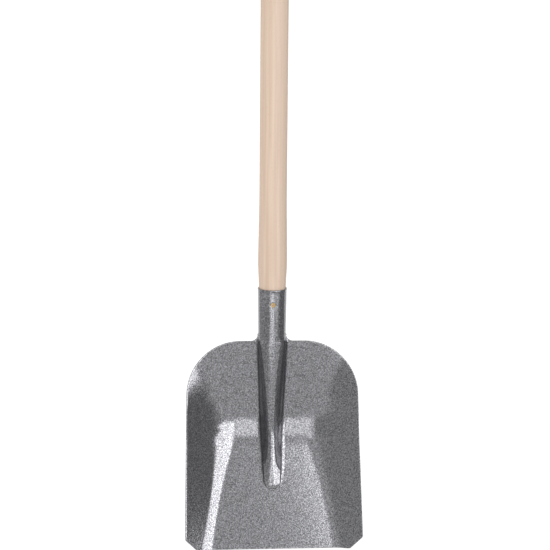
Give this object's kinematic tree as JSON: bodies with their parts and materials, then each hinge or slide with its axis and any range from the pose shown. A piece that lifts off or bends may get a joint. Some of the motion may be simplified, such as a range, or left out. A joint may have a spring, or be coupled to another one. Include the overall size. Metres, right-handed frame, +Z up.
{
  "type": "grain scoop shovel",
  "caption": "Deep pressed-steel scoop shovel with raised side walls, a hollow middle ridge and a rolled socket, on a long round wooden handle held by a screw.",
  "frame": {"origin": "under the middle of the tool's box, on the level of the cutting edge", "axes": "+Z up along the handle; the grain side of the scoop faces -Y; +X to the right seen from the grain side"},
  "size_m": [0.2492, 0.1062, 1.5314],
  "materials": {
    "hammertone_paint": "glossy silver-grey hammertone enamel on pressed steel sheet",
    "handle_wood": "sanded unvarnished beech, straight grain",
    "screw_plating": "yellow-passivated zinc on steel"
  },
  "bodies": {
    "root": {"scoop_blade": "hammertone_paint", "handle": "handle_wood", "handle_screw": "screw_plating"}
  },
  "joints": []
}
